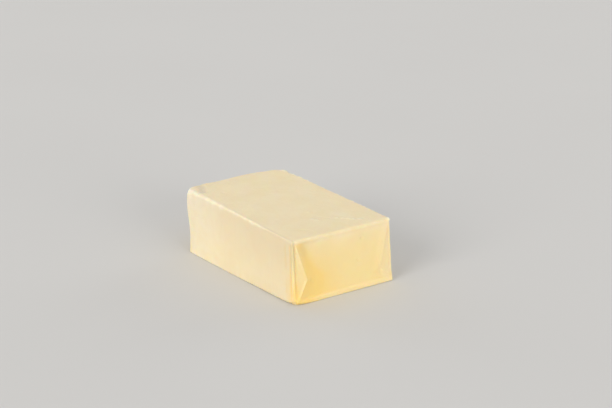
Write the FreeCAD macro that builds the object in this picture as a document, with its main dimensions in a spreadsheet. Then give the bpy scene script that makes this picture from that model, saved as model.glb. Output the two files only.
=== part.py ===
"""A 250 g block of butter, unwrapped, as one solid.

Millimetres, +Z up, the foot on Z = 0. X runs along the block's length and Y across it. The origin is under
the middle of the block. The front is the long side at -Y, and the two ends are at -X and +X.

The block isn't a true box. The top falls a little towards +X, the sides lean, the upright corners are
bevelled and one of them is worn round. Each end keeps the print of the folded wrapper: a sunk panel with a
raised, three-cornered tuck on each side of it.
"""

import FreeCAD, Part
import math
import os
import re

import Sketcher

SIZES = {
    # the whole block
    "block_length": 107.5,
    "block_width": 68.2,
    "block_height": 39.6,
    "top_fall": 1.4,
    # how far each side's foot or top stands in from the block's overall size
    "left_foot_inset": 2.4,
    "right_top_inset": 0.3,
    "front_foot_inset": 0.9,
    "back_top_inset": 1.1,
    # corners and rims
    "corner_bevel": 1.5,
    "worn_corner_round": 5.0,
    "top_round": 1.3,
    "foot_round": 0.9,
    # the print of the folded wrapper on each end
    "panel_depth": 0.8,
    "panel_slope": 55.0,
    "panel_rim": 3.0,
    "tuck_start": 3.2,
    "worn_tuck_start": 5.9,
    "tuck_reach": 9.4,
    "tuck_height": 14.0,
}
SHEET = "Sizes"


def make_sheet(doc):
    """The spreadsheet that drives the block: a name beside each number, and the name as the cell's alias."""
    sheet = doc.addObject("Spreadsheet::Sheet", SHEET)
    for row, (name, value) in enumerate(SIZES.items(), start=1):
        sheet.set(f"A{row}", name)
        sheet.set(f"B{row}", str(value))
        sheet.setAlias(f"B{row}", name)
    doc.recompute()
    return sheet


def origin_plane(body, role):
    """One of the body's own origin planes, such as XY_Plane."""
    return next(f for f in body.Origin.OriginFeatures if f.Role == role)


def add_sketch(body, name, role):
    """An empty sketch on one of the body's origin planes."""
    sketch = body.newObject("Sketcher::SketchObject", name)
    sketch.AttachmentSupport = [(origin_plane(body, role), "")]
    sketch.MapMode = "FlatFace"
    return sketch


def draw_outline(sketch, corners):
    """A closed outline of straight lines. Each corner is (x formula, y formula), in the sheet's names.

    The lines start as a regular polygon, and the constraints then pull each corner to its place.
    """
    count = len(corners)
    turns = [2 * math.pi * i / count for i in range(count + 1)]
    ring = [FreeCAD.Vector(math.cos(turn), math.sin(turn), 0) for turn in turns]
    for start, end in zip(ring, ring[1:]):
        sketch.addGeometry(Part.LineSegment(start, end), False)
    for i in range(count):
        sketch.addConstraint(Sketcher.Constraint("Coincident", i, 2, (i + 1) % count, 1))
    for i, formulas in enumerate(corners):
        for axis, formula in zip(("DistanceX", "DistanceY"), formulas):
            index = sketch.addConstraint(Sketcher.Constraint(axis, -1, 1, i, 1, 1.0))
            sketch.setExpression(f"Constraints[{index}]", named(formula))


def named(text):
    """A formula with each of the sheet's names written as the sheet's own cell."""
    return re.sub("|".join(sorted(SIZES, key=len, reverse=True)), lambda m: f"{SHEET}.{m[0]}", text)


def rectangle(left, right, front, back):
    """A rectangle's corners, counter-clockwise from the front left, from the formulas of its four sides."""
    return [(left, front), (right, front), (right, back), (left, back)]


def edges_where(feature, test):
    """The names of the feature's edges that pass the test."""
    return [f"Edge{i}" for i, e in enumerate(feature.Shape.Edges, start=1) if test(e)]


def is_upright(edge):
    """True for an edge that runs mostly up the block."""
    rise = abs(edge.Vertexes[-1].Z - edge.Vertexes[0].Z)
    return rise > 0.8 * edge.Length


def is_worn_corner(edge):
    """True for an edge near the back corner of the -X end."""
    return edge.CenterOfMass.x < 0 and edge.CenterOfMass.y > 0


def add_loft(doc, body):
    """The leaning sides, from the foot's outline up to the top's."""
    foot = add_sketch(body, "FootOutline", "XY_Plane")
    draw_outline(
        foot,
        rectangle(
            "-block_length / 2 + left_foot_inset",
            "block_length / 2",
            "-block_width / 2 + front_foot_inset",
            "block_width / 2",
        ),
    )
    top = add_sketch(body, "TopOutline", "XY_Plane")
    top.setExpression(".AttachmentOffset.Base.z", named("block_height"))
    draw_outline(
        top,
        rectangle(
            "-block_length / 2",
            "block_length / 2 - right_top_inset",
            "-block_width / 2",
            "block_width / 2 - back_top_inset",
        ),
    )
    loft = body.newObject("PartDesign::AdditiveLoft", "Sides")
    loft.Profile = foot
    loft.Sections = [top]
    loft.Ruled = True
    doc.recompute()
    return loft


def add_top_fall(doc, body):
    """Cuts the top to its gentle fall towards +X."""
    wedge = add_sketch(body, "TopFallOutline", "XZ_Plane")
    corners = [
        ("-block_length / 2", "block_height"),
        ("block_length / 2", "block_height - top_fall"),
        ("block_length / 2", "block_height + top_fall"),
    ]
    draw_outline(wedge, corners)
    cut = body.newObject("PartDesign::Pocket", "TopFall")
    cut.Profile = wedge
    cut.Type = "ThroughAll"
    cut.Midplane = True
    doc.recompute()
    return cut


def add_corners(doc, body, base):
    """The bevels up three corners, and the worn round up the fourth."""
    bevel = body.newObject("PartDesign::Chamfer", "CornerBevels")
    sharp = edges_where(base, lambda e: is_upright(e) and not is_worn_corner(e))
    bevel.Base = (base, sharp)
    bevel.setExpression("Size", named("corner_bevel"))
    doc.recompute()
    worn = body.newObject("PartDesign::Fillet", "WornCorner")
    worn.Base = (bevel, edges_where(bevel, lambda e: is_upright(e) and is_worn_corner(e)))
    worn.setExpression("Radius", named("worn_corner_round"))
    doc.recompute()
    return worn


def add_rims(doc, body, base):
    """The soft rims round the top and the foot."""
    middle = SIZES["block_height"] / 2
    features = [("TopRim", "top_round", True), ("FootRim", "foot_round", False)]
    for name, size, above in features:
        rim = body.newObject("PartDesign::Fillet", name)
        flat = edges_where(base, lambda e: not is_upright(e))
        chosen = [n for n in flat if (base.Shape.getElement(n).CenterOfMass.z > middle) == above]
        rim.Base = (base, chosen)
        rim.setExpression("Radius", named(size))
        doc.recompute()
        base = rim
    return base


def add_end_panel(doc, body, name, foot_at, lean, back_start, reverse):
    """The sunk panel of one end, pinched between its two raised tucks.

    foot_at is where the end's foot stands along X, lean how far its top stands nearer -X than its foot, and
    back_start how far from the back side the panel begins.
    """
    outline = add_sketch(body, f"{name}Outline", "YZ_Plane")
    across = FreeCAD.Rotation(FreeCAD.Vector(1, 0, 0), 1)
    outline.AttachmentOffset = FreeCAD.Placement(FreeCAD.Vector(0, 0, 0), across)
    outline.setExpression(".AttachmentOffset.Base.z", named(foot_at))
    outline.setExpression(".AttachmentOffset.Rotation.Angle", named(f"-atan({lean} / block_height)"))
    high = "block_height - top_fall - panel_rim"
    front, back = "-block_width / 2", "block_width / 2"
    corners = [
        (f"{front} + tuck_start", "panel_rim"),
        (f"{back} - {back_start}", "panel_rim"),
        (f"{back} - tuck_reach", "tuck_height"),
        (f"{back} - {back_start}", high),
        (f"{front} + tuck_start", high),
        (f"{front} + tuck_reach", "tuck_height"),
    ]
    draw_outline(outline, corners)
    panel = body.newObject("PartDesign::Pocket", name)
    panel.Profile = outline
    panel.Type = "Length"
    panel.setExpression("Length", named("panel_depth"))
    panel.setExpression("TaperAngle", named("-panel_slope"))
    panel.Reversed = reverse
    doc.recompute()
    return panel


def failed_features(doc):
    """The labels of the features that didn't come out."""
    return [o.Label for o in doc.Objects if {"Invalid", "Error"} & set(o.State)]


def make_block(doc):
    """The block's body, feature by feature."""
    body = doc.addObject("PartDesign::Body", "Block")
    body.Label = "butter_block"
    add_loft(doc, body)
    top_fall = add_top_fall(doc, body)
    corners = add_corners(doc, body, top_fall)
    shaped = add_rims(doc, body, corners)
    left_foot = "-block_length / 2 + left_foot_inset"
    panels = [
        ("RightPanel", "block_length / 2", "right_top_inset", "tuck_start", False),
        ("LeftPanel", left_foot, "left_foot_inset", "worn_tuck_start", True),
    ]
    for name, foot_at, lean, back_start, reverse in panels:
        before = shaped.Shape.Volume
        shaped = add_end_panel(doc, body, name, foot_at, lean, back_start, reverse)
        print(f"{name}: cuts {before - shaped.Shape.Volume:.0f} mm3")
    body.Tip = shaped
    doc.recompute()
    return body


def main():
    doc = FreeCAD.newDocument("ButterBlock")
    make_sheet(doc)
    body = make_block(doc)
    failed = failed_features(doc)
    if failed:
        raise SystemExit(f"these features failed: {failed}")
    shape = body.Shape
    if shape.isNull() or not shape.isValid() or len(shape.Solids) != 1:
        raise SystemExit("the block isn't one valid solid")
    box = shape.optimalBoundingBox()
    size = f"{box.XLength:.2f} x {box.YLength:.2f} x {box.ZLength:.2f} mm"
    print(f"volume {shape.Volume / 1000:.1f} cm3, size {size}")
    os.makedirs("parts", exist_ok=True)
    shape.exportStep(f"parts/{body.Label}.step")


main()
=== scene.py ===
"""A block of butter, just out of its folded wrapper, on a pale studio floor.

The block's length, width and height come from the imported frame. Shapes are worked out in millimetres,
as a maker would measure them, and turned into metres when the mesh is made.
"""

import math
from types import SimpleNamespace

import bpy
import numpy as np
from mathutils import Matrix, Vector, noise


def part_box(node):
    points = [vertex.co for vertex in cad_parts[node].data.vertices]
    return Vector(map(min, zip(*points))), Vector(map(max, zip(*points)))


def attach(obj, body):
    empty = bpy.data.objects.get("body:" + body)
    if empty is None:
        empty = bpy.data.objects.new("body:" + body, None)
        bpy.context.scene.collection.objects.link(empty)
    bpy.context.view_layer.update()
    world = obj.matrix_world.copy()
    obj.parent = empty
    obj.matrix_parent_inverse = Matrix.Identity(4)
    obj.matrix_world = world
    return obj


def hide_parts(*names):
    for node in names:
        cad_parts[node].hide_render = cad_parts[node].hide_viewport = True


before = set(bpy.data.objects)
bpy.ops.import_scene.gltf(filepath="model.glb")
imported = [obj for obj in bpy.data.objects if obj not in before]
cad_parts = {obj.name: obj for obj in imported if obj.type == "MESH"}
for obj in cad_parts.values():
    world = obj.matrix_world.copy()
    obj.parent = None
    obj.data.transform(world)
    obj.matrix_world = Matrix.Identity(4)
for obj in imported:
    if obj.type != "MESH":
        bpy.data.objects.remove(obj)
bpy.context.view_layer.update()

MM = 0.001
NODE = "butter_block"

# the spacing of the mesh over the block: fine at the edges, wider in the middle of a side
EDGE_SPACING = 0.24
SPACING_GROWTH = 0.03
WIDEST_SPACING = 0.72

# how the block leans out of square: each corner's place against the box that holds the block
CORNER_SHIFTS = {
    ("left", "front", "top"): (-0.5, 0.5, 0.1),
    ("right", "front", "top"): (-1.2, -0.3, -1.2),
    ("right", "back", "top"): (-0.1, -1.6, -2.0),
    ("left", "back", "top"): (-0.1, -1.1, -0.2),
    ("left", "front", "foot"): (2.7, 0.9, 0.0),
    ("right", "front", "foot"): (-2.3, 2.1, 0.0),
    ("right", "back", "foot"): (0.6, 0.9, 0.0),
    ("left", "back", "foot"): (1.9, -0.6, 0.0),
}

# the edges' roundness, and how much more of it there is where they were crushed or worn
RIM_RADIUS = 1.15
UPRIGHT_EXTRA = 0.9
CRUSHED_EXTRA = 2.0
WORN_CORNER_EXTRA = 7.0
WORN_FOOT_EXTRA = 2.6
END_RIM_EXTRA = 1.5
LIFTED_FOOT_EXTRA = 1.2
CRISP_RIM_CUT = 0.55

# the folded wrapper's print on an end: two raised tucks with a sunk panel between them
RIDGE_START = 2.4
RIDGE_TOP = 2.5
TUCK_REACH = 9.3
PANEL_FOOT = 3.0
CREASE_AT = 2.0
PANEL_DEPTH = 0.62
DISH_DEPTH = 0.55
TUCK_SLOPE = 0.5
TUCK_CREASE_DEPTH = 0.19
RIDGE_HEIGHT = 0.3

# how far the other marks stand out or sink in
LIP_HEIGHT = 0.3
BURR_HEIGHT = 0.6
SCUFF_HEIGHT = 0.45
SMEAR_HEIGHT = 0.35
STREAK_HEIGHT = 0.08
CREASE_DEPTH = 0.25
DENT_DEPTH = 0.7
CRUSH_DEPTH = 0.55
WAIST_DEPTH = 0.75
SAG_DEPTH = 0.7

# the butter's colours: its clouded skin, the fresher ends, yellower also as painted warm bounce light, and
# what each mask lays over them: paler rubbing with painted highlights, and painted shade in grey, yellow
# and olive
SKIN_SHADE = (0.875, 0.737, 0.472, 1)
SKIN_LIGHT = (0.895, 0.768, 0.515, 1)
SKIN_MARBLING = (0.91, 0.81, 0.57, 1)
SKIN_STREAKS = (0.84, 0.69, 0.42, 1)
FRESH_AND_BOUNCE_DARK = (0.89, 0.71, 0.35, 1)
FRESH_AND_BOUNCE_LIGHT = (0.91, 0.75, 0.40, 1)
PAINTED_SHADE_GREY = (0.735, 0.63, 0.46, 1)
SHADE_AND_BOUNCE_YELLOW = (0.93, 0.67, 0.228, 1)
PAINTED_SHADE_OLIVE = (0.685, 0.60, 0.365, 1)
RUBBED_AND_HIGHLIGHT_PALE = (0.91, 0.845, 0.67, 1)

# the studio's floor, in metres, and the even light from all round
FLOOR_RADIUS = 6.0
FLOOR_SIDES = 96
CARD_SHADE = (0.655, 0.652, 0.645, 1)
CARD_LIGHT = (0.675, 0.672, 0.665, 1)
WORLD_COLOUR = (1.0, 0.99, 0.98, 1)
WORLD_STRENGTH = 0.62
LAMP_DISTANCE = 2.0

# the camera: degrees round and up, millimetres of lens, then metres back, to the right and up
CAMERA_AZIMUTH = 53.13
CAMERA_ELEVATION = 19.77
CAMERA_LENS = 89.26
CAMERA_DISTANCE = 0.872
AIM_RIGHT = 0.0116
AIM_UP = 0.0352


# ---------------------------------------------------------------- shared curves

def bell(distance, width):
    """1 at no distance, falling smoothly to nothing at about twice the width."""
    return np.exp(-((distance / width) ** 2))


def ramp(value, start, end):
    """0 before start, 1 past end, and a smooth step between."""
    t = np.clip((value - start) / (end - start), 0.0, 1.0)
    return t * t * (3.0 - 2.0 * t)


def apart(*offsets):
    """The straight distance that offsets at right angles to each other come to."""
    return np.sqrt(sum(offset**2 for offset in offsets))


def lumps(points, size, seed):
    """Smooth unevenness from about -1 to 1, with lumps about size apart."""
    shift = Vector((seed * 17.3, seed * -5.1, seed * 29.7))
    return np.array([noise.noise(Vector(p) / size + shift) for p in points])


def stroke(points, start, end, width):
    """1 on the straight line from start to end, fading over its width."""
    start, end = np.array(start, float), np.array(end, float)
    along = end - start
    t = np.clip((points - start) @ along / (along @ along), 0.0, 1.0)
    gap = np.linalg.norm(points - (start + t[:, None] * along), axis=1)
    return bell(gap, width)


# ---------------------------------------------------------------- the block's grid

def stations(size):
    """Places along one side, close together near both edges."""
    fine = np.linspace(0.0, size, 4001)
    from_edge = np.minimum(fine, size - fine)
    spacing = np.minimum(WIDEST_SPACING, EDGE_SPACING + SPACING_GROWTH * from_edge)
    count = np.concatenate([[0.0], np.cumsum(np.diff(fine) / ((spacing[1:] + spacing[:-1]) / 2))])
    steps = int(round(count[-1]))
    return np.interp(np.linspace(0.0, count[-1], steps + 1), count, fine)


def shell_grid(axes):
    """Points and outward quads over the six sides of a box, from the stations along each axis."""
    counts = [len(axis) for axis in axes]
    lattice = np.indices(counts)
    outer = np.zeros(counts, bool)
    for steps, count in zip(lattice, counts):
        outer |= (steps == 0) | (steps == count - 1)
    numbers = np.full(counts, -1)
    numbers[outer] = np.arange(outer.sum())
    points = np.stack([axis[steps[outer]] for axis, steps in zip(axes, lattice)], axis=1)
    quads = []
    for axis in range(3):
        for far in (False, True):
            side = np.take(numbers, -1 if far else 0, axis=axis)
            loop = (side[:-1, :-1], side[1:, :-1], side[1:, 1:], side[:-1, 1:])
            quad = np.stack(loop, axis=-1).reshape(-1, 4)
            outward = far != (axis == 1)
            quads.append(quad if outward else quad[:, ::-1])
    return points, np.concatenate(quads)


def measure(points, size):
    """How far each point is from every side of the box that holds the block."""
    length, width, height = size
    x, y, z = points.T
    at = SimpleNamespace(points=points, x=x, y=y, z=z, length=length, width=width, height=height)
    at.left, at.right = x + length / 2, length / 2 - x
    at.front, at.back = y + width / 2, width / 2 - y
    at.foot, at.top = z, height - z
    at.end = np.minimum(at.left, at.right)
    at.side = np.minimum(at.front, at.back)
    return at


# ---------------------------------------------------------------- the block's form

def edge_radii(at):
    """How far each edge's roundness reaches along the block's length, width and height."""
    uneven = 1.0 + 0.3 * lumps(at.points, 9, seed=1)
    rim = RIM_RADIUS * uneven * (1.0 - 0.4 * bell(at.foot, 3.0))
    rim += CRUSHED_EXTRA * bell(apart(at.left / 2.6, at.front, at.top), 8.0)
    upright = bell(at.end, 4.0) * bell(at.side, 4.0)
    plan = rim + UPRIGHT_EXTRA * upright * (1.0 - 0.7 * bell(at.back, 9.0))

    from_worn = apart(at.left, 0.8 * at.back)
    plan += WORN_CORNER_EXTRA * bell(from_worn, 15.0) * (0.55 + 0.45 * ramp(at.z, 4, 34))
    rim += 0.6 * bell(from_worn, 12.0)

    soft_end = bell(at.end, 4.0) * bell(at.top, 5.0)
    plan += END_RIM_EXTRA / 3 * soft_end * ramp(at.side, 1, 5)
    rim += END_RIM_EXTRA * soft_end
    plan *= 1.0 - 0.78 * bell(at.right, 4.0) * bell(at.front, 4.0)

    worn_foot = bell(apart(at.right, at.front, 0.75 * at.foot), 6.5)
    lifted_foot = bell(at.foot, 3.0) * bell(at.front, 3.0) * ramp(at.x, -20, 50)
    plan += WORN_FOOT_EXTRA * worn_foot + LIFTED_FOOT_EXTRA * lifted_foot
    rim += 2.0 * worn_foot + LIFTED_FOOT_EXTRA * lifted_foot

    crisp = bell(at.front, 3.0) * bell(at.top, 4.0) * ramp(at.x, 20, 34) * ramp(at.right, 1, 4)
    rim -= CRISP_RIM_CUT * crisp
    return np.stack([plan, plan, rim], axis=1)


def edge_power(at):
    """2 gives a round edge. Less gives the flat pressed bevel of the upright edges."""
    upright = bell(at.end, 4.0) * bell(at.side, 4.0) * ramp(at.top, 0.5, 4.0) * ramp(at.foot, 1.0, 8.0)
    worn = bell(apart(at.left, at.back), 12.0)
    return 2.0 - 0.8 * upright * (1.0 - worn)


def round_edges(at):
    """Draws the box's edges in to their roundness. Gives the new points and their outward directions."""
    radii = edge_radii(at)
    half = np.array([at.length / 2, at.width / 2, at.height / 2])
    middle = np.array([0.0, 0.0, at.height / 2])
    from_middle = at.points - middle
    inner = np.clip(from_middle, radii - half, half - radii)
    out = (from_middle - inner) / radii
    power = edge_power(at)[:, None]
    out /= (np.abs(out) ** power).sum(axis=1, keepdims=True) ** (1 / power)
    outward = out / radii
    return middle + inner + radii * out, outward / np.linalg.norm(outward, axis=1, keepdims=True)


def lean(points, size):
    """Shifts the corners, and everything between them, from a true box to the block as it stands."""
    share = points / np.array(size) + np.array([0.5, 0.5, 0.0])
    moved = points.copy()
    for (end, side, level), shift in CORNER_SHIFTS.items():
        across = share[:, 0] if end == "right" else 1 - share[:, 0]
        deep = share[:, 1] if side == "back" else 1 - share[:, 1]
        high = share[:, 2] if level == "top" else 1 - share[:, 2]
        moved += (across * deep * high)[:, None] * np.array(shift)
    return moved


# ---------------------------------------------------------------- the block's marks

def sway(at):
    """The broad unevenness of a soft block pressed by its wrapper."""
    wide = 0.24 * lumps(at.points, 36, seed=2) + 0.11 * lumps(at.points, 14, seed=3)
    small = 0.035 * lumps(at.points, 4.5, seed=4)
    waist = bell(at.left, 6) * bell(at.front, 16) * bell(at.z - 15, 11)
    sag = bell(at.left, 7) * bell(at.top, 5) * bell(at.y + 9, 13)
    return wide + small - WAIST_DEPTH * waist - SAG_DEPTH * sag


def upright_streaks(at):
    """Faint upright drag marks on the two long sides, stronger towards the right end."""
    flat = at.points * np.array([1.0, 1.0, 0.06])
    on_side = bell(at.side, 1.5) * ramp(at.end, 1.0, 5.0)
    strength = 0.35 + 0.65 * ramp(at.x, -10, 40)
    return STREAK_HEIGHT * lumps(flat, 2.6, seed=5) * on_side * strength


def corner_creases(at):
    """Where two thin upright creases run on the long sides, just inside the right end's pressed corners."""
    on_side = bell(at.side, 0.8) * ramp(at.top, 1.5, 4.0)
    waver = 0.25 * lumps(at.points * np.array([0, 0, 1]), 9, seed=9)
    first = bell(at.right - 2.1 - waver, 0.7)
    second = bell(at.right - 6.3 - waver, 0.9) * ramp(lumps(at.points, 12, seed=10), -0.4, 0.1)
    return (first + 0.6 * second) * on_side * ramp(at.foot, 3, 9)


def front_lip(at):
    """The soft bead that the wrapper's fold left along the front's top edge."""
    out = np.maximum(at.front, at.top)
    run = ramp(at.x, -34, -29) * (1 - ramp(at.x, 16, 34))
    gap = 1 - 0.9 * bell(at.x + 18, 2.0)
    waver = 0.8 + 0.65 * lumps(at.points, 6, seed=6)
    thick = 1.75 + 0.9 * bell(at.x + 25, 14)
    broken = 0.5 + 0.5 * ramp(lumps(at.points, 4.0, seed=16), -0.25, 0.1)
    return bell(out, thick) * run * gap * waver * broken


def torn_rims(at):
    """Small burrs along the back's and the right end's top edges, with a nub at each end of the back's."""
    back = bell(np.maximum(at.back, at.top), 0.9) * ramp(at.x, -44, -34)
    right = 0.3 * bell(np.maximum(at.right, at.top), 0.8)
    grain = np.clip(1.5 * lumps(at.points, 2.1, seed=7) + 0.12, 0, 1)
    far_nub = bell(apart(at.right - 1.2, at.back - 0.8, at.top), 1.2)
    near_nub = bell(apart(at.left - 9.5, at.back - 0.3, at.top - 0.3), 2.6)
    return np.maximum(back * (0.35 + 0.65 * grain), right * grain) + 0.5 * far_nub + 1.3 * near_nub


def corner_dent(at):
    """The dent on top of the crushed corner, at the left end's front: 1 at its deepest."""
    start = (3.0 - at.length / 2, 9.5 - at.width / 2, at.height)
    end = (12.5 - at.length / 2, 5.5 - at.width / 2, at.height)
    return stroke(at.points, start, end, 2.2 + 1.9 * lumps(at.points, 4.5, seed=14))


def corner_smears(at):
    """Small pale smears where the crushed corner's top edge was pressed over."""
    edge = bell(np.maximum(at.front, at.top), 2.2) * bell(at.left - 9, 9)
    return edge * ramp(lumps(at.points, 2.6, seed=15), 0.05, 0.45)


def crushed_corner(at, marks):
    """How far the crushed corner is pushed in, with its dent and its smears."""
    facet = bell(apart((at.left - 7) / 1.8, at.front - 2, at.top / 1.4), 4.5)
    return SMEAR_HEIGHT * marks.smears - CRUSH_DEPTH * facet - DENT_DEPTH * marks.dent


def tuck_print(at, from_side, apex, strength):
    """One raised tuck: its relief, and how far each point is past its ridge, into the panel."""
    levels = [PANEL_FOOT, apex, at.height - RIDGE_TOP]
    reach = np.interp(at.z, levels, [RIDGE_START + 1, TUCK_REACH, RIDGE_START])
    past = 0.94 * (from_side - reach)
    along = ramp(at.z, 1.5, 5) * ramp(at.top, 1.2, 3.5)
    slope = np.clip((reach - from_side) / (reach - CREASE_AT + 0.3), 0, 1) * ramp(from_side, 1.0, CREASE_AT)
    ridge = bell(past + 0.2, 0.6) * ramp(at.foot, 2, 6)
    crease = bell(from_side - CREASE_AT - 0.3 * lumps(at.points, 8, seed=11), 0.45) * ramp(at.foot, 4, 10)
    relief = RIDGE_HEIGHT * ridge - TUCK_SLOPE * slope - TUCK_CREASE_DEPTH * crease
    return strength * relief * along, past


def end_print(at, from_end, apex_front, apex_back, back_strength):
    """One end's print. Gives the relief, and how deep the yellow is in its hollows, where shade and bounced
    light are painted in.
    """
    near = bell(from_end, 1.6)
    front_tuck, past_front = tuck_print(at, at.front, apex_front, 1.0)
    back_tuck, past_back = tuck_print(at, at.back, apex_back, back_strength)
    rim = 1.6 + 0.8 * lumps(at.points * np.array([0, 1, 0]), 8, seed=8)
    inside = ramp(past_front, -0.2, 6.5) * ramp(past_back, -0.2, 5.0)
    inside *= ramp(at.top, rim - 1.2, rim + 3.0) * ramp(at.z, PANEL_FOOT - 0.8, PANEL_FOOT + 1.2)
    dish = bell(past_front - 5.0, 6.0) * bell(at.top - 8.0, 8.0)
    shallow = ramp(at.front, 12, 40)
    relief = front_tuck + back_tuck - inside * (PANEL_DEPTH - 0.25 * shallow + DISH_DEPTH * dish)

    low_down = 1 - ramp(at.z, 8, 30)
    beside = bell((past_front - 3.0) / (1 + low_down), 3.6) * ramp(past_front, -0.3, 0.3)
    crease = bell(at.front - CREASE_AT + 0.3, 0.8) + 0.3 * bell(at.back - CREASE_AT, 0.8)
    near_corner = bell(at.front - 1.5, 2.5) * (1 - ramp(at.z, 5, 18))
    hollows = 0.5 * inside * (0.25 + 1.3 * low_down) * (1 - 0.75 * shallow)
    hollows += 0.25 * low_down * (1 - shallow) + near_corner
    hollows += (0.9 * beside + 0.45 * crease) * ramp(at.top, 1.0, 3.0)
    return near * relief, near * np.clip(hollows, 0, 1)


def right_end_marks(at):
    """A pit on the right end's near ridge, and a slit and a crease beside its far tuck."""
    face = at.points[:, 1:]
    pit = bell(np.linalg.norm(face - (2.8 - at.width / 2, 31.0), axis=1), 0.8)
    rise = at.z - 9
    slit = bell(apart(at.y - 25.2 + 0.2 * rise, 0.2 * rise), 0.55)
    crease = stroke(face, (26.5, 8.5), (31.5, 5.0), 0.7)
    return bell(at.right, 1.6) * (0.2 * crease - 0.5 * pit - 0.45 * slit)


def pits(at, count=38):
    """Small air holes with a faint rim, scattered over every side but the foot."""
    rng = np.random.default_rng(12)
    relief = np.zeros(len(at.x))
    shown = np.flatnonzero(at.foot > 3)
    places = list(at.points[rng.choice(shown, count)])
    # two more, on the front near its right end
    places += [np.array((42.5, -at.width / 2, 25.4)), np.array((43.3, -at.width / 2, 11.0))]
    for place in places:
        across = rng.uniform(0.45, 0.95)
        depth = rng.uniform(0.1, 0.28)
        gap = np.linalg.norm(at.points - place, axis=1)
        relief -= depth * bell(gap, across)
        relief += 0.1 * depth * bell(gap - 1.7 * across, 0.5 * across)
    return relief


def wrapper_creases(at):
    """Faint straight prints of the creased wrapper: nine on the top and twelve on the long sides."""
    rng = np.random.default_rng(5)
    relief = np.zeros(len(at.x))
    half = np.array([at.length, at.width]) / 2
    for _ in range(9):
        start = rng.uniform(-0.9, 0.9, 2) * half
        turn = rng.choice([0.1, 0.9, 1.7, 2.6]) + rng.normal(0, 0.12)
        run = rng.uniform(9, 30)
        end = start + run * np.array([math.cos(turn), math.sin(turn)])
        depth = rng.uniform(0.05, 0.11)
        relief -= depth * stroke(at.points, (*start, at.height), (*end, at.height), 0.55)
    for _ in range(12):
        side = rng.choice([-1, 1]) * half[1]
        x, z = rng.uniform(-0.9, 0.9) * half[0], rng.uniform(4, at.height - 4)
        turn = rng.choice([1.35, 1.75, 0.25]) + rng.normal(0, 0.15)
        run = rng.uniform(6, 20)
        end = (x + run * math.cos(turn), side, z + run * math.sin(turn))
        depth = rng.uniform(0.05, 0.12)
        relief -= depth * stroke(at.points, (x, side, z), end, 0.55)
    return relief


def top_scuffs(at):
    """Where a few short rubbed marks stand on the top, near the right end."""
    rng = np.random.default_rng(3)
    marks = np.zeros(len(at.x))
    row = [(37.0 + 2.1 * step, 9.5 + 2.3 * step) for step in range(5)]
    for x, y in row + [(32.0, -4.0), (34.0, -2.5), (22.0, 1.0)]:
        turn = rng.uniform(-0.9, 2.2)
        run = rng.uniform(0.4, 1.6)
        end = (x + run * math.cos(turn), y + run * math.sin(turn), at.height)
        strength = rng.uniform(0.6, 1.0)
        marks += strength * stroke(at.points, (x, y, at.height), end, 0.8)
    return marks


def make_marks(at):
    """The marks that the relief and the finish share: the prints in millimetres, the rest about 0 to 1."""
    left_print, left_hollows = end_print(at, at.left, apex_front=12.5, apex_back=15.0, back_strength=0.6)
    right_print, right_hollows = end_print(at, at.right, apex_front=14.8, apex_back=10.0, back_strength=0.4)
    return SimpleNamespace(
        prints=left_print + right_print,
        hollows=np.maximum(left_hollows, right_hollows),
        lip=front_lip(at),
        torn=torn_rims(at),
        scuffs=top_scuffs(at),
        creases=corner_creases(at),
        dent=corner_dent(at),
        smears=corner_smears(at),
    )


def block_relief(at, marks):
    """How far each point stands out from the rounded block. The foot's own face stays flat."""
    relief = sway(at) + upright_streaks(at) + pits(at) + wrapper_creases(at)
    relief += LIP_HEIGHT * marks.lip + BURR_HEIGHT * marks.torn + SCUFF_HEIGHT * marks.scuffs
    relief += marks.prints + right_end_marks(at) + crushed_corner(at, marks) - CREASE_DEPTH * marks.creases
    return relief * ramp(at.foot, 0.0, 1.2)


# ---------------------------------------------------------------- masks for the finish

def on_long_sides(at):
    """1 on the front and the back, fading out before the ends."""
    return bell(at.side, 1.5) * ramp(at.end, 0.5, 2.5)


def on_ends(at):
    """1 on the two ends, fading out round their edges."""
    return 1 - ramp(at.end, 0.3, 1.6)


def on_crushed_corner(at):
    """1 at the crushed corner, fading out along its edges."""
    return bell(apart(at.left / 2.2, at.front, at.top), 6.0)


def rubbed_and_highlight_mask(at, marks):
    """Where the skin is rubbed pale, with painted highlights on the lip, the torn rims, the top edges, the
    left front edge, the crushed corner, the front's left part and the ends' band under the rim.
    """
    top_edges = bell(np.maximum(np.minimum(at.end, at.side), at.top), 1.2)
    left_front = bell(apart(at.left, at.front), 2.6) * ramp(at.z, 2, 36)
    under_rim = on_ends(at) * bell(at.top - 3.0, 2.2) * ramp(at.front, 5, 16)
    # the scuffs and smears are rubbed pale; the lip and the torn rims are paled as painted highlights
    mask = 0.9 * marks.lip + 1.3 * marks.torn + 0.9 * marks.scuffs + 0.9 * marks.smears
    # painted highlights on the top edges, the left front edge and the crushed corner
    mask += 0.2 * top_edges + 1.2 * left_front + 0.8 * on_crushed_corner(at)
    # painted light on the front's left part and on the ends' band under the rim
    mask += 0.45 * on_long_sides(at) * (1 - ramp(at.x, -50, 0))
    mask += 0.4 * under_rim * (0.7 + 0.8 * lumps(at.points, 5, seed=17))
    return mask


def shade_and_bounce_mask(at, marks):
    """Painted shade and bounced light, as deeper yellow: in the prints' hollows, in the creases and low at
    the near corner.
    """
    near_foot = bell(at.right - 2.0, 4.0) * (1 - ramp(at.z, 3, 32))
    upper_right = ramp(at.x, -30, 30) * ramp(at.z, 8, 30)
    return marks.hollows + 0.6 * marks.creases + on_long_sides(at) * (0.6 * near_foot + 0.1 * upper_right)


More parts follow.
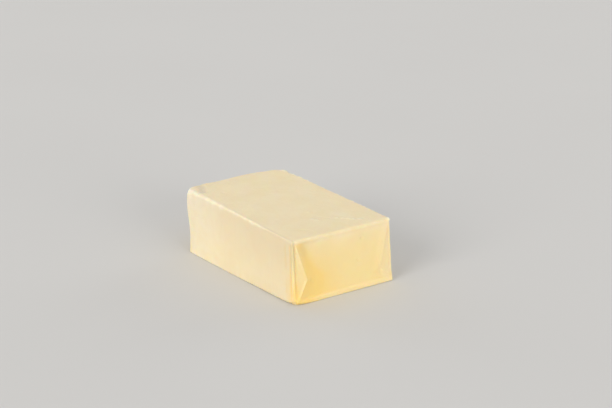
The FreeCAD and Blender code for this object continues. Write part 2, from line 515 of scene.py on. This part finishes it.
def painted_shade_grey_mask(at, marks):
    """Painted shade, in grey: higher up and towards the right end on the long sides, in the corner dent and
    on the crushed corner, in the creases and along the front's top rim near the right end.
    """
    # painted shade: the long sides darker higher up and towards the right end
    shade_up_high = on_long_sides(at) * (0.52 * ramp(at.z, 6, 38) + 0.2 * ramp(at.x, -30, 30))
    front_rim = bell(np.maximum(at.front, at.top), 1.3) * ramp(at.x, 16, 34)
    # painted shade in the dent, on the crushed corner, in the creases and on the front's top rim near the
    # right end
    return shade_up_high + 1.2 * marks.dent + 0.5 * on_crushed_corner(at) + 0.6 * marks.creases + 0.6 * front_rim


def fresh_and_bounce_mask(at):
    """Where the ends are yellower: fresher butter, and painted warm bounce light, less so at their top and
    towards the back.
    """
    return on_ends(at) * (0.45 + 0.55 * ramp(at.top, 0.5, 15)) * (0.5 + 0.5 * ramp(at.back, 2, 11))


def olive_shade_mask(at):
    """Painted shade, in olive: on the near upright corner's pressed bevel, the ends' top rims and by the
    near tuck.
    """
    corner = (1 - ramp(np.maximum(at.right, at.front), 1.0, 2.6)) * (0.15 + 0.85 * ramp(at.z, 12, 32))
    end_rim = bell(np.maximum(at.end, at.top), 1.7) * ramp(at.front, 3, 8)
    beside = (1 - ramp(at.right, 0.5, 2.0)) * bell(at.front - 7.5, 3.5) * bell(at.top - 6.5, 5)
    return corner + 0.45 * end_rim + 0.34 * beside


def add_masks(mesh, masks):
    """Stores each mask on the mesh's points, under the name that the finish reads."""
    for name, values in masks.items():
        layer = mesh.attributes.new(name, "FLOAT", "POINT")
        layer.data.foreach_set("value", np.clip(values, 0, 1).astype(np.float32))


def make_butter(size, centre):
    """The whole block as one closed mesh, with the masks that its finish reads."""
    points, quads = shell_grid([stations(side) for side in size])
    points -= np.array([size[0] / 2, size[1] / 2, 0.0])
    at = measure(points, size)
    marks = make_marks(at)

    rounded, outward = round_edges(at)
    shaped = lean(rounded + block_relief(at, marks)[:, None] * outward, size)
    shaped[:, 2] = np.maximum(shaped[:, 2], 0.0)

    mesh = bpy.data.meshes.new("butter")
    mesh.from_pydata((shaped * MM + np.array(centre)).tolist(), [], quads.tolist())
    mesh.polygons.foreach_set("use_smooth", [True] * len(mesh.polygons))
    add_masks(mesh, {
        "worn": rubbed_and_highlight_mask(at, marks),
        "deep": shade_and_bounce_mask(at, marks),
        "painted_shade_grey": painted_shade_grey_mask(at, marks),
        "fresh_and_bounce": fresh_and_bounce_mask(at),
        "pressed": olive_shade_mask(at),
    })
    mesh.update()
    return bpy.data.objects.new("butter", mesh)


# ---------------------------------------------------------------- finishes

class Nodes:
    """Short ways to add and join shader nodes in one tree."""

    def __init__(self, tree):
        self.tree = tree

    def add(self, kind, values=None, **settings):
        node = self.tree.nodes.new(kind)
        for name, value in settings.items():
            setattr(node, name, value)
        for name, value in (values or {}).items():
            if isinstance(value, bpy.types.NodeSocket):
                self.tree.links.new(value, node.inputs[name])
            else:
                node.inputs[name].default_value = value
        return node

    def noise(self, vector, scale, detail=2.0, roughness=0.5):
        values = {"Vector": vector, "Scale": scale, "Detail": detail, "Roughness": roughness}
        return self.add("ShaderNodeTexNoise", values).outputs["Fac"]

    def span(self, value, low, high, to_low=0.0, to_high=1.0):
        values = {"Value": value, "From Min": low, "From Max": high, "To Min": to_low, "To Max": to_high}
        return self.add("ShaderNodeMapRange", values).outputs["Result"]

    def math(self, operation, first, second):
        node = self.add("ShaderNodeMath", {0: first, 1: second}, operation=operation)
        return node.outputs["Value"]

    def mix(self, amount, first, second):
        values = {0: amount, 6: first, 7: second}
        return self.add("ShaderNodeMix", values, data_type="RGBA").outputs[2]

    def mask(self, name, strength=1.0):
        share = self.add("ShaderNodeAttribute", attribute_name=name).outputs["Fac"]
        return share if strength == 1.0 else self.math("MULTIPLY", share, strength)


def butter_colour(make, clouds, marbling, streaks):
    """A clouded, marbled skin and yellower ends, partly painted warm bounce light, then each mask's own
    colour over them: painted shade, and paler rubbing with painted highlights.
    """
    skin = make.mix(make.span(clouds, 0.35, 0.65), SKIN_SHADE, SKIN_LIGHT)
    skin = make.mix(make.span(marbling, 0.45, 0.75, 0.0, 0.2), skin, SKIN_MARBLING)
    skin = make.mix(make.span(streaks, 0.5, 0.75, 0.0, 0.22), skin, SKIN_STREAKS)
    # the ends' yellower tone: fresher butter, and painted warm bounce light
    fresh_and_bounce = make.mix(make.span(clouds, 0.3, 0.7), FRESH_AND_BOUNCE_DARK, FRESH_AND_BOUNCE_LIGHT)
    colour = make.mix(make.mask("fresh_and_bounce", 0.85), skin, fresh_and_bounce)
    # painted shade, in grey
    colour = make.mix(make.mask("painted_shade_grey", 0.9), colour, PAINTED_SHADE_GREY)
    # painted shade and bounced light, as deeper yellow in the hollows and creases
    colour = make.mix(make.mask("deep", 0.85), colour, SHADE_AND_BOUNCE_YELLOW)
    # painted shade, in olive, on the near corner and the ends' rims
    colour = make.mix(make.mask("pressed", 0.85), colour, PAINTED_SHADE_OLIVE)
    # rubbed pale, and painted highlights
    rubbed = make.math("MULTIPLY", make.mask("worn"), make.span(marbling, 0.3, 0.6, 0.35, 0.8))
    return make.mix(rubbed, colour, RUBBED_AND_HIGHLIGHT_PALE)


def butter_grain(make, place, streaks):
    """Fine grain, drag marks and pores, as the slope that the light meets."""
    grain = make.noise(place, 1500.0, 3.0, 0.6)
    pores = make.add("ShaderNodeTexVoronoi", {"Vector": place, "Scale": 620.0, "Randomness": 1.0})
    holes = make.span(pores.outputs["Distance"], 0.06, 0.2, -0.5, 0.0)
    height = make.math("ADD", grain, make.math("MULTIPLY", streaks, 0.8))
    height = make.math("ADD", height, holes)
    bump = make.add("ShaderNodeBump", {"Height": height, "Strength": 0.35, "Distance": 0.0001})
    return bump.outputs["Normal"]


def butter_finish():
    """Pale, slightly greasy butter: light through its edges, yellower where it is pressed in, as painted
    shade and bounced light.
    """
    material = bpy.data.materials.new("butter")
    material.use_nodes = True
    tree = material.node_tree
    tree.nodes.clear()
    make = Nodes(tree)
    place = make.add("ShaderNodeTexCoord").outputs["Object"]
    clouds = make.noise(place, 55.0, 3.0)
    marbling = make.noise(place, 210.0, 2.0, 0.6)
    drawn = make.add("ShaderNodeMapping", {"Vector": place, "Scale": (1.0, 1.0, 0.06)})
    streaks = make.noise(drawn.outputs["Vector"], 420.0, 2.0)
    shader = make.add("ShaderNodeBsdfPrincipled", {
        "Base Color": butter_colour(make, clouds, marbling, streaks),
        "Roughness": make.span(make.noise(place, 130.0, 3.0), 0.35, 0.7, 0.40, 0.56),
        "Normal": butter_grain(make, place, streaks),
        "IOR": 1.46,
        "Specular IOR Level": 0.4,
        "Subsurface Weight": 0.8,
        "Subsurface Radius": (1.0, 0.72, 0.34),
        "Subsurface Scale": 0.0018,
    })
    output = make.add("ShaderNodeOutputMaterial")
    tree.links.new(shader.outputs["BSDF"], output.inputs["Surface"])
    return material


def floor_finish():
    """Plain pale studio card."""
    material = bpy.data.materials.new("studio_card")
    material.use_nodes = True
    make = Nodes(material.node_tree)
    shader = material.node_tree.nodes["Principled BSDF"]
    place = make.add("ShaderNodeTexCoord").outputs["Object"]
    tone = make.mix(make.noise(place, 6.0), CARD_SHADE, CARD_LIGHT)
    material.node_tree.links.new(tone, shader.inputs["Base Color"])
    shader.inputs["Roughness"].default_value = 0.9
    shader.inputs["Specular IOR Level"].default_value = 0.0
    return material


# ---------------------------------------------------------------- studio

def add(made):
    """Puts an object in the scene."""
    bpy.context.scene.collection.objects.link(made)
    return made


def make_floor():
    """A wide round card under the block."""
    mesh = bpy.data.meshes.new("floor")
    turns = np.linspace(0, 2 * math.pi, FLOOR_SIDES, endpoint=False)
    rim = [(FLOOR_RADIUS * math.cos(t), FLOOR_RADIUS * math.sin(t), 0.0) for t in turns]
    mesh.from_pydata(rim, [], [range(FLOOR_SIDES)])
    mesh.materials.append(floor_finish())
    return bpy.data.objects.new("floor", mesh)


def directions(azimuth, elevation):
    """Right, up and backwards for whatever looks down at the block from that far round and up."""
    a, e = math.radians(azimuth), math.radians(elevation)
    back = Vector((math.sin(a) * math.cos(e), -math.cos(a) * math.cos(e), math.sin(e)))
    right = Vector((math.cos(a), math.sin(a), 0.0))
    return right, back.cross(right), back


def make_camera(foot):
    """A long lens, three quarters round to the right end, with room round the block."""
    right, up, back = directions(CAMERA_AZIMUTH, CAMERA_ELEVATION)
    data = bpy.data.cameras.new("camera")
    data.sensor_width = 36.0
    data.lens = CAMERA_LENS
    data.clip_start, data.clip_end = 0.05, 30.0
    camera = bpy.data.objects.new("camera", data)
    aim = foot + right * AIM_RIGHT + up * AIM_UP
    camera.location = aim + back * CAMERA_DISTANCE
    camera.rotation_mode = "QUATERNION"
    camera.rotation_quaternion = back.to_track_quat("Z", "Y")
    return camera


def make_lamp(name, azimuth, elevation, strength, softness, colour):
    """A large soft light far off, which falls evenly on the block and the whole floor."""
    data = bpy.data.lights.new(name, "SUN")
    data.energy = strength * math.pi
    data.angle = math.radians(softness)
    data.color = colour
    lamp = bpy.data.objects.new(name, data)
    back = directions(azimuth, elevation)[2]
    lamp.location = back * LAMP_DISTANCE
    lamp.rotation_mode = "QUATERNION"
    lamp.rotation_quaternion = back.to_track_quat("Z", "Y")
    return lamp


def make_world():
    """Even light from all round, a little warm."""
    world = bpy.data.worlds.new("studio")
    world.use_nodes = True
    background = world.node_tree.nodes["Background"]
    background.inputs["Color"].default_value = WORLD_COLOUR
    background.inputs["Strength"].default_value = WORLD_STRENGTH
    bpy.context.scene.world = world


# ---------------------------------------------------------------- build

low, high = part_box(NODE)
size = [(high[i] - low[i]) / MM for i in range(3)]
foot = Vector(((low[0] + high[0]) / 2, (low[1] + high[1]) / 2, low[2]))

butter = add(make_butter(size, foot))
butter.data.materials.append(butter_finish())
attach(butter, "root")
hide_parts(NODE)

floor = add(make_floor())

add(make_lamp("key_light", azimuth=14, elevation=23, strength=0.455, softness=34, colour=(1, 0.975, 0.93)))
add(make_lamp("fill_light", azimuth=88, elevation=13, strength=0.31, softness=30, colour=(1, 0.98, 0.94)))
add(make_lamp("back_light", azimuth=188, elevation=14, strength=0.15, softness=36, colour=(1, 0.99, 0.96)))
add(make_lamp("side_light", azimuth=278, elevation=14, strength=0.11, softness=36, colour=(1, 0.99, 0.96)))
make_world()
bpy.context.scene.view_settings.view_transform = "Standard"

bpy.context.scene.camera = add(make_camera(foot))
